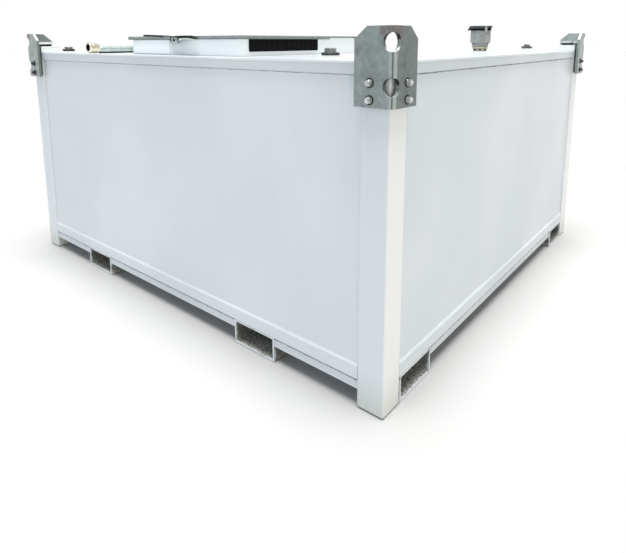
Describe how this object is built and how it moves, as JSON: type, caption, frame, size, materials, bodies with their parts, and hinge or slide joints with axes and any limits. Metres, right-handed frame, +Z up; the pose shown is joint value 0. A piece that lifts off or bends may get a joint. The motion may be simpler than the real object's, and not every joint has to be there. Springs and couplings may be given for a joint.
{
  "type": "transportable fuel storage tank",
  "caption": "White double-walled cube fuel tank with corner posts, fork tubes both ways, bolted lifting brackets and a roof cabinet with a hinged lid.",
  "frame": {"origin": "on the ground under the middle of the tank body", "axes": "+X along the long side towards the right-hand face, +Y from the front face to the back, +Z up"},
  "size_m": [2.348, 2.168, 1.262],
  "materials": {
    "white_paint": "satin",
    "galvanised_steel": "spangled zinc",
    "tube_steel": "dull",
    "brass": "machined",
    "black_rubber": "matte",
    "dark_plastic": "matte"
  },
  "bodies": {
    "tank": {"access_cover": "white_paint", "back_bottom_rail": "white_paint", "back_top_rail": "white_paint", "back_wall": "white_paint", "bracket_pad_back_left": "black_rubber", "bracket_pad_back_right": "black_rubber", "bracket_pad_front_left": "black_rubber", "bracket_pad_front_right": "black_rubber", "cabinet_frame": "white_paint", "corner_post_back_left": "white_paint", "corner_post_back_right": "white_paint", "corner_post_front_left": "white_paint", "corner_post_front_right": "white_paint", "cross_tube_back_left": "tube_steel", "cross_tube_back_middle": "tube_steel", "cross_tube_back_right": "tube_steel", "cross_tube_front_left": "tube_steel", "cross_tube_front_middle": "tube_steel", "cross_tube_front_right": "tube_steel", "fill_base": "brass", "fill_body": "galvanised_steel", "fill_cap": "dark_plastic", "floor_plate": "white_paint", "fork_tube_left": "tube_steel", "fork_tube_right": "tube_steel", "front_bottom_rail": "white_paint", "front_top_rail": "white_paint", "front_wall": "white_paint", "hose_slot_flap": "black_rubber", "left_bottom_rail": "white_paint", "left_top_rail": "white_paint", "left_wall": "white_paint", "lid_hinge_left": "galvanised_steel", "lid_hinge_right": "galvanised_steel", "lifting_bracket_back_left": "galvanised_steel", "lifting_bracket_back_right": "galvanised_steel", "lifting_bracket_front_left": "galvanised_steel", "lifting_bracket_front_right": "galvanised_steel", "outlet_coupling": "brass", "outlet_pipe": "galvanised_steel", "right_bottom_rail": "white_paint", "right_top_rail": "white_paint", "right_wall": "white_paint", "roof_plate": "white_paint", "roof_plug_back_right": "galvanised_steel", "roof_plug_front_left": "galvanised_steel", "roof_plug_front_right": "galvanised_steel"},
    "lid": {"cabinet_lid": "galvanised_steel", "lid_lock_bar": "dark_plastic", "lid_hasp": "white_paint", "lid_handle": "dark_plastic"}
  },
  "joints": [
    {"name": "lid_hinge", "type": "hinge", "parent": "tank", "child": "lid", "pos_m": [0.064, -0.184, 1.176], "axis": [-1, 0, 0], "range_deg": [0, 100]}
  ]
}
